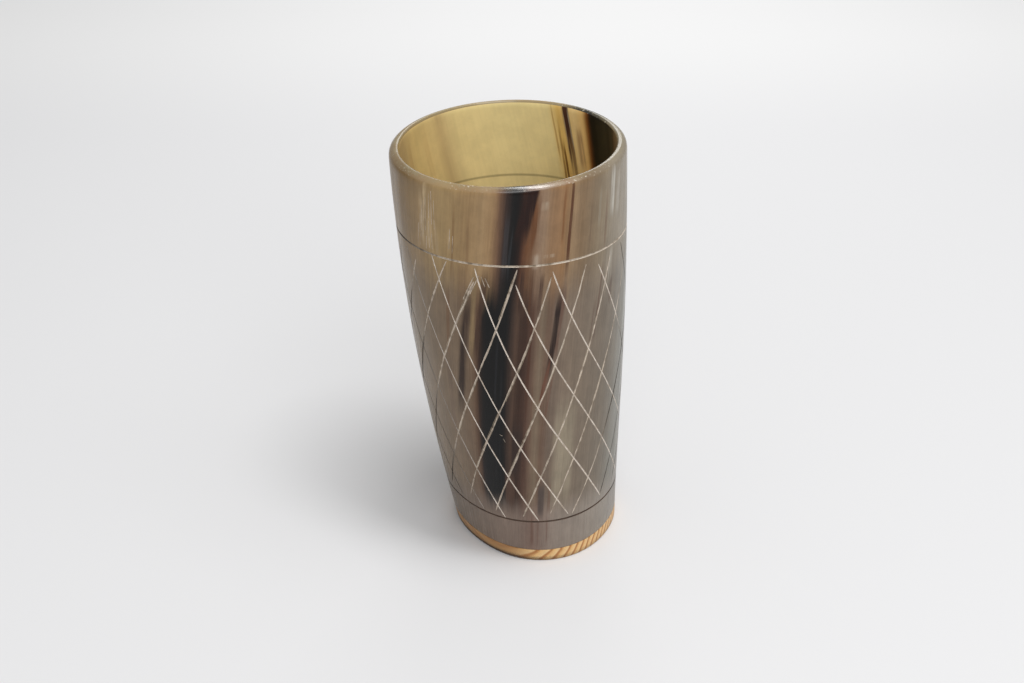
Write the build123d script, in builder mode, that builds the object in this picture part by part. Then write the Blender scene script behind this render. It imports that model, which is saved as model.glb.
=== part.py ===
from build123d import *
from dataclasses import dataclass
from math import cos, radians, sin
import os

# A drinking beaker made of one length of cow horn, standing on a softwood base let into its narrow end.
# Millimetres, +Z up, origin at the middle of the base's underside, its front towards -Y.
# The horn leans towards -X as it rises. Azimuths are degrees from +X, anticlockwise seen from above.

# Heights of the bands, from the table up to the middle of the mouth
CUP_HEIGHT = 141.3
BASE_BAND = 4.8
LOWER_BAND = 12.1
RIM_BAND = 26.3

# Where the middle section stands, as a share of the way from the lower ring to the upper one
MIDDLE_SHARE = 0.34

# Mean outside radius of the horn at its sections
FOOT_RADIUS = 27.8
LOWER_RING_RADIUS = 29.7
MIDDLE_RADIUS = 33.3
UPPER_RING_RADIUS = 37.4
RIM_RADIUS = 37.8

# How far the middle of each section has moved towards -X
LOWER_RING_LEAN = 1.8
MIDDLE_LEAN = 4.7
UPPER_RING_LEAN = 8.85
RIM_LEAN = 9.95

# The rim is cut square to the leaning horn, so its plane drops towards -X, by this many degrees
RIM_TILT = 1.95

# The foot is a rounded triangle, a little oval as well, and the horn grows round towards the rim:
# each section above it keeps a share of that shape
FOOT_CORNER = 1.2
FOOT_CORNER_AZIMUTH = 273.0
FOOT_OVAL = 0.5
FOOT_OVAL_AZIMUTH = 135.0
LOWER_RING_FOOT_SHARE = 0.9
MIDDLE_FOOT_SHARE = 0.7
UPPER_RING_FOOT_SHARE = 0.15

# Mean wall of the horn, thicker at the sides than at the front and back
RIM_WALL = 3.0
UPPER_RING_WALL = 3.2
MIDDLE_WALL = 3.8
FLOOR_WALL = 4.6
SIDE_SWELL = 0.4

# The lip: how high its rounding begins below the rim, and how far it goes in, outside and inside
LIP_HEIGHT = 2.6
LIP_OUTSIDE = 1.4
LIP_INSIDE = 0.7

# The base: a spigot in a straight socket, glued, with a waterproof coat over its top
SOCKET_DEPTH = 10.0
SOCKET_LEDGE = 0.6
GLUE_FILM = 0.2
GLUE_INSET = 0.3
FOOT_ROUND = 0.6
SEAL_COAT = 0.5
SEAL_RISE = 1.6
SEAL_FOOT = 1.4
SEAL_LIP = 0.25

# Engraved rings, one near the base and one below the rim
RING_WIDTH = 0.7
RING_DEPTH = 0.45

JOINT_HEIGHT = BASE_BAND
LOWER_RING_HEIGHT = BASE_BAND + LOWER_BAND
UPPER_RING_HEIGHT = CUP_HEIGHT - RIM_BAND
MIDDLE_HEIGHT = LOWER_RING_HEIGHT + MIDDLE_SHARE * (UPPER_RING_HEIGHT - LOWER_RING_HEIGHT)
FLOOR_HEIGHT = JOINT_HEIGHT + SOCKET_DEPTH
WALL_LEAST = RIM_WALL - SIDE_SWELL
ROUND_LIMIT = 0.45
LIP_FIT = min(1.0, 2 * ROUND_LIMIT * WALL_LEAST / (LIP_OUTSIDE + LIP_INSIDE))
FOOT_EDGE = min(FOOT_ROUND, ROUND_LIMIT * BASE_BAND)
ROUND_ANGLES = (0.0, 45.0, 90.0)
OUTLINE_POINTS = 16
OVERSHOOT = 2.0


@dataclass
class Section:
    """A section of the horn: its place, mean radius and wall, share of the foot's shape, and tilt."""

    height: float
    lean: float
    radius: float
    wall: float
    foot_share: float
    tilt: float = 0.0


FOOT = Section(FOOT_EDGE, 0.0, FOOT_RADIUS, FLOOR_WALL, 1.0)
LOWER_RING = Section(
    LOWER_RING_HEIGHT, LOWER_RING_LEAN, LOWER_RING_RADIUS, FLOOR_WALL, LOWER_RING_FOOT_SHARE
)
MIDDLE = Section(MIDDLE_HEIGHT, MIDDLE_LEAN, MIDDLE_RADIUS, MIDDLE_WALL, MIDDLE_FOOT_SHARE)
UPPER_RING = Section(
    UPPER_RING_HEIGHT, UPPER_RING_LEAN, UPPER_RING_RADIUS, UPPER_RING_WALL, UPPER_RING_FOOT_SHARE
)
RIM = Section(CUP_HEIGHT - LIP_HEIGHT, RIM_LEAN, RIM_RADIUS, RIM_WALL, 0.0, RIM_TILT)
SECTIONS = [FOOT, LOWER_RING, MIDDLE, UPPER_RING, RIM]


def section_at(height):
    """The section at any height, straight between the two named sections beside it."""
    below = max((s for s in SECTIONS[:-1] if s.height <= height), key=lambda s: s.height)
    above = SECTIONS[SECTIONS.index(below) + 1]
    t = (height - below.height) / (above.height - below.height)
    return Section(
        height,
        below.lean + t * (above.lean - below.lean),
        below.radius + t * (above.radius - below.radius),
        below.wall + t * (above.wall - below.wall),
        below.foot_share + t * (above.foot_share - below.foot_share),
    )


def outline(section, inset=0.0, swell=0.0, height=None):
    """A face with the horn's outline, drawn in by inset and by more at the two sides by swell."""
    points = []
    for k in range(OUTLINE_POINTS):
        azimuth = 360.0 * k / OUTLINE_POINTS
        corner = FOOT_CORNER * cos(radians(3 * (azimuth - FOOT_CORNER_AZIMUTH)))
        oval = FOOT_OVAL * cos(radians(2 * (azimuth - FOOT_OVAL_AZIMUTH)))
        radius = section.radius + section.foot_share * (corner + oval)
        radius -= inset + swell * cos(radians(2 * azimuth))
        points.append((radius * cos(radians(azimuth)), radius * sin(radians(azimuth))))
    level = section.height if height is None else height
    across, up = sin(radians(section.tilt)), cos(radians(section.tilt))
    plane = Plane(origin=(-section.lean, 0, level), x_dir=(up, 0, across), z_dir=(-across, 0, up))
    with BuildSketch(plane) as face:
        with BuildLine():
            Spline(*points, periodic=True)
        make_face()
    return face.sketch


JOINT = section_at(JOINT_HEIGHT)
FLOOR = section_at(FLOOR_HEIGHT)
SOCKET_INSET = FLOOR.wall - SOCKET_LEDGE
SPIGOT_INSET = SOCKET_INSET + GLUE_FILM
BASE_TOP = JOINT_HEIGHT - GLUE_FILM
LIP = [(LIP_FIT * (1 - cos(radians(a))), RIM.height + LIP_HEIGHT * sin(radians(a))) for a in ROUND_ANGLES]
FOOT_TURN = [(FOOT_EDGE * (1 - cos(radians(a))), FOOT_EDGE * (1 - sin(radians(a)))) for a in ROUND_ANGLES]

# The outside of horn and base together above the foot's rounded edge, and the hollow above the floor
with BuildPart() as blank:
    loft([outline(section) for section in SECTIONS])

with BuildPart() as bore:
    hollow = [FLOOR, MIDDLE, UPPER_RING, RIM]
    loft([outline(section, section.wall, SIDE_SWELL) for section in hollow])

# Horn wall, with a drinking lip rounded inside and out
with BuildPart() as horn_wall:
    add(blank.part)
    split(bisect_by=Plane.XY.offset(JOINT_HEIGHT), keep=Keep.TOP)
    loft([outline(RIM, share * LIP_OUTSIDE, height=level) for share, level in LIP])
    add(bore.part, mode=Mode.SUBTRACT)
    loft(
        [outline(RIM, RIM.wall - share * LIP_INSIDE, SIDE_SWELL, level) for share, level in LIP],
        mode=Mode.SUBTRACT,
    )
    extrude(
        outline(FLOOR, SOCKET_INSET, SIDE_SWELL, JOINT_HEIGHT - OVERSHOOT),
        amount=SOCKET_DEPTH + OVERSHOOT,
        mode=Mode.SUBTRACT,
    )
    for ring in (LOWER_RING, UPPER_RING):
        start = ring.height - RING_WIDTH / 2
        with BuildSketch(Plane.XY.offset(start)) as groove:
            add(outline(ring, -OVERSHOOT, height=start))
            add(outline(ring, RING_DEPTH, height=start), mode=Mode.SUBTRACT)
        extrude(amount=RING_WIDTH, mode=Mode.SUBTRACT)

# Wooden base: the band flush with the horn, its lower edge rounded, and the spigot above it
with BuildPart() as wooden_base:
    add(blank.part)
    split(bisect_by=Plane.XY.offset(BASE_TOP), keep=Keep.BOTTOM)
    loft([outline(FOOT, inset, height=level) for inset, level in FOOT_TURN])
    extrude(outline(FLOOR, SPIGOT_INSET, SIDE_SWELL, BASE_TOP), amount=FLOOR_HEIGHT - BASE_TOP)

# Glue: a level film under the horn's lower edge and a sleeve round the spigot
with BuildPart() as glue_line:
    extrude(outline(JOINT, GLUE_INSET, height=BASE_TOP), amount=GLUE_FILM)
    extrude(outline(FLOOR, SOCKET_INSET, SIDE_SWELL, BASE_TOP), amount=FLOOR_HEIGHT - BASE_TOP)
    extrude(
        outline(FLOOR, SPIGOT_INSET, SIDE_SWELL, BASE_TOP - OVERSHOOT),
        amount=FLOOR_HEIGHT - BASE_TOP + 2 * OVERSHOOT,
        mode=Mode.SUBTRACT,
    )

# Floor seal: a thin coat over the spigot that climbs the wall all round
with BuildPart() as floor_seal:
    add(bore.part)
    split(bisect_by=Plane.XY.offset(FLOOR_HEIGHT + SEAL_RISE), keep=Keep.BOTTOM)
    seal_top = section_at(FLOOR_HEIGHT + SEAL_RISE)
    dish_floor = outline(FLOOR, FLOOR.wall + SEAL_FOOT, SIDE_SWELL, FLOOR_HEIGHT + SEAL_COAT)
    dish_mouth = outline(seal_top, seal_top.wall + SEAL_LIP, SIDE_SWELL)
    loft([dish_floor, dish_mouth], mode=Mode.SUBTRACT)

os.makedirs("parts", exist_ok=True)
horn_wall.part.label = "horn_wall"
wooden_base.part.label = "wooden_base"
glue_line.part.label = "glue_line"
floor_seal.part.label = "floor_seal"
export_step(horn_wall.part, "parts/horn_wall.step")
export_step(wooden_base.part, "parts/wooden_base.step")
export_step(glue_line.part, "parts/glue_line.step")
export_step(floor_seal.part, "parts/floor_seal.step")
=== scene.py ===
"""Looks of a leaning horn beaker: streaked and engraved horn, softwood base, glue line and floor coat."""

import logging
import math
import random
from collections.abc import Callable, Sequence
from dataclasses import dataclass, field
from enum import Enum

import bpy
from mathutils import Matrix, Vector


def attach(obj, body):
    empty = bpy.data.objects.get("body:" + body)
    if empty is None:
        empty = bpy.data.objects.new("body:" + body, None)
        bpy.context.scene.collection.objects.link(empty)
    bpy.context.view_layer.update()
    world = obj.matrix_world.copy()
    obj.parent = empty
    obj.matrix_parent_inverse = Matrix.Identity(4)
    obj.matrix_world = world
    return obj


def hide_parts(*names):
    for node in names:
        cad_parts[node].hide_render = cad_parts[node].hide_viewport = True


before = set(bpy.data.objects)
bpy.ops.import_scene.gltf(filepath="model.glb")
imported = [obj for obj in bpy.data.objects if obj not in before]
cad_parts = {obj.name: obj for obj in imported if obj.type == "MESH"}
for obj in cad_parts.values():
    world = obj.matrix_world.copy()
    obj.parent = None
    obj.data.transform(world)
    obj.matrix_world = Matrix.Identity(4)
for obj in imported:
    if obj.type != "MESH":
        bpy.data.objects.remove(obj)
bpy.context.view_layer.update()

LOG = logging.getLogger("horn_beaker")
BODY = "root"
MM = 0.001

# Azimuths of the form are degrees from +X, anticlockwise seen from above; the front is at 270
FRONT = 270.0
TURN = 360.0

Socket = bpy.types.NodeSocket
Value = float | Socket
Colour = tuple[float, float, float, float]
Paint = Socket | Colour
Stop = tuple[float, Colour]
Range = tuple[float, float]
Triple = tuple[float, float, float]

# The part of a cloudy noise that carries a full change, and the middle of all noise
WIDE: Range = (0.3, 0.7)
NARROW: Range = (0.35, 0.65)
NOISE_MIDDLE = 0.5


def tone(red: int, green: int, blue: int) -> Colour:
    """A colour given as it looks on a screen, 0 to 255, in the renderer's linear units.

    Args:
        red: Red as seen.
        green: Green as seen.
        blue: Blue as seen.

    Returns:
        The linear colour with full alpha.
    """
    shares = [seen / 255.0 for seen in (red, green, blue)]
    # The standard curve from a screen's numbers to light
    lit = [share / 12.92 if share <= 0.04045 else ((share + 0.055) / 1.055) ** 2.4 for share in shares]
    return (lit[0], lit[1], lit[2], 1.0)


class Blend(Enum):
    """How one colour is laid over another."""

    OVER = "MIX"
    DARKEN = "MULTIPLY"


class Shader:
    """A material's node tree, with short calls for the nodes that the finishes share."""

    def __init__(self, name: str) -> None:
        """Start an empty material.

        Args:
            name: Name of the material.
        """
        self.material = bpy.data.materials.new(name)
        self.material.use_nodes = True
        self.tree = self.material.node_tree
        self.tree.nodes.clear()

    def node(self, kind: str, inputs: dict | None = None, **settings: object) -> bpy.types.Node:
        """Add a node.

        Args:
            kind: Blender's name for the node type.
            inputs: Values or sockets for its inputs, by name or place.
            **settings: Properties of the node.

        Returns:
            The new node.
        """
        made = self.tree.nodes.new(kind)
        for name, value in settings.items():
            setattr(made, name, value)
        for key, value in (inputs or {}).items():
            if isinstance(value, Socket):
                self.tree.links.new(value, made.inputs[key])
            else:
                made.inputs[key].default_value = value
        return made

    def math(self, operation: str, first: Value, second: Value = 0.0, third: Value = 0.0) -> Socket:
        """One sum on numbers, by Blender's name for it."""
        return self.node("ShaderNodeMath", {0: first, 1: second, 2: third}, operation=operation).outputs[0]

    def span(self, value: Value, low: float, high: float, start: float = 0.0, end: float = 1.0) -> Socket:
        """Carry the numbers from low to high smoothly over to start and end, and hold the ends."""
        inputs = {0: value, 1: low, 2: high, 3: start, 4: end}
        return self.node("ShaderNodeMapRange", inputs, interpolation_type="SMOOTHSTEP").outputs[0]

    def vary(self, pattern: Socket, reach: Range, within: Range = WIDE) -> Socket:
        """A number that follows a cloudy pattern from one end of its reach to the other."""
        return self.span(pattern, *within, *reach)

    def astray(self, pattern: Socket, reach: float, value: Value) -> Socket:
        """A number that a cloudy pattern moves up and down."""
        return self.math("MULTIPLY_ADD", self.math("SUBTRACT", pattern, NOISE_MIDDLE), reach, value)

    def bump_about(self, value: Value, middle: float, half: float, soft: float) -> Socket:
        """A hump: 1 within half of middle, falling to 0 over soft beyond it."""
        away = self.math("ABSOLUTE", self.math("SUBTRACT", value, middle))
        return self.span(away, half, half + soft, 1.0, 0.0)

    def vector(self, x: Value, y: Value, z: Value) -> Socket:
        """Three numbers as one vector."""
        return self.node("ShaderNodeCombineXYZ", {0: x, 1: y, 2: z}).outputs[0]

    def axes(self, vector: Socket) -> Sequence[Socket]:
        """The three numbers of a vector."""
        return self.node("ShaderNodeSeparateXYZ", {0: vector}).outputs

    def noise(self, where: Socket, scale: float, detail: float = 2.0, rough: float = 0.5) -> Socket:
        """Cloudy noise from 0 to 1: cells to one unit of where, finer layers, and the share of each."""
        sizes = {"Vector": where, "Scale": scale, "Detail": detail, "Roughness": rough}
        return self.node("ShaderNodeTexNoise", sizes).outputs["Fac"]

    def ramp(self, share: Value, stops: Sequence[Stop]) -> Socket:
        """Colours along a line.

        Args:
            share: Triple on the line, 0 to 1.
            stops: Places and colours, in order.

        Returns:
            The socket with the colour.
        """
        made = self.node("ShaderNodeValToRGB", {0: share})
        elements = made.color_ramp.elements
        elements[0].position, elements[0].color = stops[0]
        elements[1].position, elements[1].color = stops[-1]
        for place, colour in stops[1:-1]:
            elements.new(place).color = colour
        return made.outputs[0]

    def mix(self, share: Value, below: Paint, above: Paint, blend: Blend = Blend.OVER) -> Socket:
        """Lay one colour over another, by a share from 0 to 1."""
        inputs = {0: share, 6: below, 7: above}
        return self.node("ShaderNodeMix", inputs, data_type="RGBA", blend_type=blend.value).outputs[2]

    def shade(self, colour: Socket, share: Value) -> Socket:
        """Darken or lighten a colour by a number: 1 keeps it, less darkens it."""
        return self.mix(1.0, colour, self.vector(share, share, share), Blend.DARKEN)

    def grain(self, colour: Socket, pattern: Socket, reach: Range, within: Range = WIDE) -> Socket:
        """Darken and lighten a colour by a cloudy pattern."""
        return self.shade(colour, self.vary(pattern, reach, within))

    def object_place(self) -> Socket:
        """The piece's own coordinates, in metres."""
        return self.node("ShaderNodeTexCoord").outputs["Object"]

    def relief(self, height: Socket, depth: float) -> Socket:
        """The normal of a fine relief, from a pattern from 0 to 1 and its full depth in metres."""
        inputs = {"Height": height, "Distance": depth, "Strength": 1.0}
        return self.node("ShaderNodeBump", inputs).outputs["Normal"]

    def finish(
        self, colour: Paint, roughness: Value, ior: float, normal: Socket | None = None
    ) -> bpy.types.Material:
        """Close the material with the surface itself.

        Args:
            colour: Base colour.
            roughness: Roughness, 0 to 1.
            ior: How strongly it reflects, as an index of refraction.
            normal: Normal of the relief, if it has one.

        Returns:
            The finished material.
        """
        inputs = {"Base Color": colour, "Roughness": roughness, "IOR": ior}
        if normal is not None:
            inputs["Normal"] = normal
        surface = self.node("ShaderNodeBsdfPrincipled", inputs)
        self.node("ShaderNodeOutputMaterial", {"Surface": surface.outputs[0]})
        return self.material


@dataclass(frozen=True)
class Outline:
    """An outline of the horn, in millimetres and degrees: its centre, radius, foot shape, swell and tilt."""

    lean: float
    radius: float
    foot_share: float
    swell: float = 0.0
    tilt: float = 0.0
    corner: float = 1.2
    corner_azimuth: float = 273.0
    oval: float = 0.5
    oval_azimuth: float = 135.0

    def reach(self, azimuth: float) -> float:
        """Distance from the outline's centre.

        Args:
            azimuth: Direction in degrees.

        Returns:
            The distance in millimetres.
        """
        corner = self.corner * math.cos(math.radians(3.0 * (azimuth - self.corner_azimuth)))
        oval = self.oval * math.cos(math.radians(2.0 * (azimuth - self.oval_azimuth)))
        swell = self.swell * math.cos(math.radians(2.0 * azimuth))
        return self.radius + self.foot_share * (corner + oval) - swell

    def point(self, azimuth: float, height: float, inset: float = 0.0) -> Vector:
        """A point on the outline, or inside it.

        Args:
            azimuth: Direction in degrees.
            height: Height of the point in millimetres.
            inset: How far inside the outline it lies.

        Returns:
            The point in metres.
        """
        reach = self.reach(azimuth) - inset
        turn = math.radians(azimuth)
        tilt = math.radians(self.tilt)
        sideways = reach * math.cos(turn)
        level = height + sideways * math.sin(tilt)
        return Vector((sideways * math.cos(tilt) - self.lean, reach * math.sin(turn), level)) * MM


@dataclass(frozen=True)
class Section:
    """A section of the horn, in millimetres, as the maker would measure it."""

    height: float
    lean: float
    radius: float
    wall: float
    foot_share: float


@dataclass(frozen=True)
class HornForm:
    """The shape of the horn: smooth curves through its measured sections."""

    foot: Section = Section(0.6, 0.0, 27.8, 4.6, 1.0)
    lower_ring: Section = Section(16.9, 1.8, 29.7, 4.6, 0.9)
    middle: Section = Section(50.254, 4.7, 33.3, 3.8, 0.7)
    upper_ring: Section = Section(115.0, 8.85, 37.4, 3.2, 0.15)
    rim: Section = Section(138.7, 9.95, 37.8, 3.0, 0.0)
    joint_height: float = 4.8
    floor_height: float = 14.8
    side_swell: float = 0.4
    rim_tilt: float = 1.95

    def through(self, sections: Sequence[Section], pick: Callable[[Section], float], height: float) -> float:
        """A smooth value through some sections.

        Args:
            sections: The sections.
            pick: Which of their sizes.
            height: Where to read it, in millimetres.

        Returns:
            The value at that height.
        """
        heights = [section.height for section in sections]
        values = [pick(section) for section in sections]
        total = 0.0
        for place, value in enumerate(values):
            others = (h for k, h in enumerate(heights) if k != place)
            total += value * math.prod((height - h) / (heights[place] - h) for h in others)
        return total

    def floor_section(self) -> Section:
        """The section at the cup's floor, straight between foot and lower ring."""
        foot, ring = self.foot, self.lower_ring
        share = (self.floor_height - foot.height) / (ring.height - foot.height)
        return Section(
            self.floor_height,
            ring.lean * share,
            foot.radius + share * (ring.radius - foot.radius),
            foot.wall,
            foot.foot_share + share * (ring.foot_share - foot.foot_share),
        )

    def tilt(self, height: float) -> float:
        """How far the outline at a height has tipped towards the plane of the rim.

        Args:
            height: Height in millimetres.

        Returns:
            The tilt in degrees, rising towards +X.
        """
        share = (height - self.upper_ring.height) / (self.rim.height - self.upper_ring.height)
        share = max(0.0, min(1.0, share))
        return self.rim_tilt * share * share * (3.0 - 2.0 * share)

    def outside(self, height: float) -> Outline:
        """The outer outline at a height in millimetres."""
        sections = (self.foot, self.lower_ring, self.middle, self.upper_ring, self.rim)
        level = min(height, self.rim.height)
        return Outline(
            self.through(sections, lambda s: s.lean, level),
            self.through(sections, lambda s: s.radius, level),
            self.through(sections, lambda s: s.foot_share, level),
            0.0,
            self.tilt(level),
        )

    def inside(self, height: float) -> Outline:
        """The outline of the hollow at a height in millimetres."""
        sections = (self.floor_section(), self.middle, self.upper_ring, self.rim)
        level = max(min(height, self.rim.height), self.floor_height)
        return Outline(
            self.through(sections, lambda s: s.lean, level),
            self.through(sections, lambda s: s.radius - s.wall, level),
            self.through(sections, lambda s: s.foot_share, level),
            self.side_swell,
            self.tilt(level),
        )


class Ends(Enum):
    """How the two ends of a stack of rings are closed."""

    JOINED = "the last ring meets the first"
    CAPPED = "each end gets a flat face"


@dataclass(frozen=True)
class Ring:
    """One ring of a turned shape: the outline it follows, its height and inset in millimetres."""

    outline: Outline
    height: float
    inset: float = 0.0


def quarter_round(inset: float, rise: float, steps: int) -> list[Range]:
    """Inset and rise of each step of a rounded edge, from its upright side to its level side."""
    turns = [math.pi / 2 * (k + 1) / steps for k in range(steps)]
    return [(inset * (1.0 - math.cos(turn)), rise * math.sin(turn)) for turn in turns]


def level_rings(outline: Callable[[float], Outline], start: float, end: float, step: float) -> list[Ring]:
    """Even rings from one height to another.

    Args:
        outline: Gives the outline at a height.
        start: Height of the first ring, in millimetres.
        end: Height of the last ring, in millimetres.
        step: About how far apart they lie, in millimetres.

    Returns:
        The rings.
    """
    count = round(abs(end - start) / step)
    heights = [start + (end - start) * k / count for k in range(count + 1)]
    return [Ring(outline(height), height) for height in heights]


def stack_rings(name: str, rings: Sequence[Ring], around: int, ends: Ends) -> bpy.types.Object:
    """Draw a closed shape up ring by ring from a circle.

    Args:
        name: Name of the piece.
        rings: Its rings, in order along the outline.
        around: Points on each ring.
        ends: How the first and last ring are closed.

    Returns:
        The new piece, at the origin.
    """
    bpy.ops.object.select_all(action="DESELECT")
    first = rings[0]
    bpy.ops.mesh.primitive_circle_add(vertices=around, radius=first.outline.radius * MM)
    piece = bpy.context.object
    piece.name = name
    piece.data.name = name
    bpy.ops.object.mode_set(mode="EDIT")
    bpy.ops.mesh.select_all(action="SELECT")
    for ring, before in zip(rings[1:], rings):
        rise = (ring.height - before.height) * MM
        bpy.ops.mesh.extrude_edges_move(TRANSFORM_OT_translate={"value": (0.0, 0.0, rise)})
    bpy.ops.mesh.select_all(action="DESELECT")
    bpy.ops.mesh.select_mode(type="EDGE")
    bpy.ops.mesh.select_non_manifold(extend=False, use_wire=False, use_multi_face=False, use_verts=False)
    if ends is Ends.JOINED:
        bpy.ops.mesh.bridge_edge_loops()
    else:
        bpy.ops.mesh.fill_holes(sides=around)
    bpy.ops.object.mode_set(mode="OBJECT")
    for index, vertex in enumerate(piece.data.vertices):
        ring = rings[index // around]
        azimuth = math.degrees(math.atan2(vertex.co.y, vertex.co.x))
        vertex.co = ring.outline.point(azimuth, ring.height, ring.inset)
    face_outwards(piece)
    return piece


def face_outwards(piece: bpy.types.Object) -> None:
    """Turn all faces of a closed piece outwards.

    Args:
        piece: The piece.
    """
    choose(piece)
    bpy.ops.object.mode_set(mode="EDIT")
    bpy.ops.mesh.select_all(action="SELECT")
    bpy.ops.mesh.normals_make_consistent(inside=False)
    bpy.ops.object.mode_set(mode="OBJECT")


def choose(*pieces: bpy.types.Object) -> None:
    """Select just these pieces and make the first one active."""
    bpy.ops.object.select_all(action="DESELECT")
    for piece in pieces:
        piece.select_set(True)
    bpy.context.view_layer.objects.active = pieces[0]


def dress(piece: bpy.types.Object, materials: Sequence[bpy.types.Material]) -> None:
    """Give a piece its materials in order.

    Args:
        piece: The piece.
        materials: Its materials.
    """
    piece.data.materials.clear()
    for material in materials:
        piece.data.materials.append(material)


def enter(piece: bpy.types.Object, node: str, crease: float) -> None:
    """Smooth a finished piece and put it in the frame in place of a solid.

    Args:
        piece: The piece.
        node: The solid that it stands for.
        crease: Edges sharper than this many degrees stay crisp.
    """
    choose(piece)
    bpy.ops.object.shade_smooth_by_angle(angle=math.radians(crease))
    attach(piece, BODY)
    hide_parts(node)
    LOG.info("%s: %d faces, stands for %s", piece.name, len(piece.data.polygons), node)


@dataclass(frozen=True)
class Fleck:
    """A local streak in the horn, or a painted sheen or reflection on it: where it lies, half its size, how
    it runs and how its edges fade.
    """

    around: float
    half_width: float
    height: float
    half_height: float
    colour: Colour
    strength: float = 1.0
    slant: float = 0.0
    soft: float = 0.5
    ragged: float = 0.4
    core: float = 0.4


Places = tuple[Socket, Socket, Socket]


@dataclass(frozen=True)
class Streaks:
    """Where horn carries its colours: degrees from the front, growing to the right, and how they run."""

    drift: float = 0.185
    drift_height: float = 66.0
    lean_rate: float = 0.1015
    lean_bend: float = -0.000215
    mean_radius: float = 34.0
    stretch: float = 0.05
    sway: float = 4.0
    sway_scale: float = 0.11
    fray: float = 2.0
    fray_scale: float = 0.75
    tear_scale: float = 0.9
    tear_edge: Range = (0.36, 0.56)

    def place(self, shader: Shader) -> Places:
        """Height, degrees along the streaks and a vector for noise that runs with them.

        Args:
            shader: The material.

        Returns:
            Height in millimetres, streak place in degrees, and the vector in millimetres.
        """
        axes = shader.axes(shader.object_place())
        height = shader.math("MULTIPLY", axes[2], 1.0 / MM)
        bend = shader.math("MULTIPLY_ADD", height, self.lean_bend, self.lean_rate)
        sideways = shader.math("MULTIPLY_ADD", axes[0], 1.0 / MM, shader.math("MULTIPLY", height, bend))
        forward = shader.math("MULTIPLY", axes[1], -1.0 / MM)
        turn = shader.math("DEGREES", shader.math("ARCTAN2", sideways, forward))
        above = shader.math("SUBTRACT", height, self.drift_height)
        run = shader.math("SUBTRACT", turn, shader.math("MULTIPLY", above, self.drift))
        angle = shader.math("RADIANS", run)
        along = shader.vector(
            shader.math("MULTIPLY", shader.math("COSINE", angle), self.mean_radius),
            shader.math("MULTIPLY", shader.math("SINE", angle), self.mean_radius),
            shader.math("MULTIPLY", height, self.stretch),
        )
        return height, run, along

    def swayed(self, shader: Shader, run: Socket, along: Socket) -> Socket:
        """The streak place in degrees, made to wander slowly and fray quickly along the streaks."""
        moved = shader.astray(shader.noise(along, self.sway_scale, detail=1.0), self.sway, run)
        return shader.astray(shader.noise(along, self.fray_scale, detail=3.0, rough=0.6), self.fray, moved)

    def colours(self, shader: Shader, run: Socket, stops: Sequence[Stop]) -> Socket:
        """Colours all round the horn.

        Args:
            shader: The material.
            run: Streak place in degrees.
            stops: Degrees from the front, from -180 to 180, and the colour there.

        Returns:
            The socket with the colour.
        """
        half = TURN / 2.0
        turned = shader.math("DIVIDE", shader.math("ADD", run, half), TURN)
        share = shader.math("WRAP", turned, 1.0, 0.0)
        return shader.ramp(share, [((degrees + half) / TURN, colour) for degrees, colour in stops])

    def fleck(self, shader: Shader, under: Socket, mark: Fleck, places: Places) -> Socket:
        """Lay a local streak over a colour.

        Args:
            shader: The material.
            under: Colour below it.
            mark: The streak.
            places: Height, streak place and vector along the streaks.

        Returns:
            The socket with the colour.
        """
        height, run, along = places
        if mark.slant:
            above = shader.math("SUBTRACT", height, mark.height)
            run = shader.math("MULTIPLY_ADD", above, -mark.slant, run)
        half = mark.half_width
        across = shader.bump_about(run, mark.around, half * (1.0 - mark.soft), half * mark.soft)
        tall = mark.half_height
        level = shader.bump_about(height, mark.height, tall * mark.core, tall * (1.0 - mark.core))
        torn = shader.noise(along, self.tear_scale)
        ragged = shader.vary(torn, (1.0 - mark.ragged, 1.0), self.tear_edge)
        share = shader.math("MULTIPLY", shader.math("MULTIPLY", across, level), ragged)
        return shader.mix(shader.math("MULTIPLY", share, mark.strength), under, mark.colour)


PITCH = tone(13, 12, 12)
BROWN_BLACK = tone(34, 24, 18)
RUST = tone(88, 54, 40)
HONEY = tone(150, 130, 92)


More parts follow.
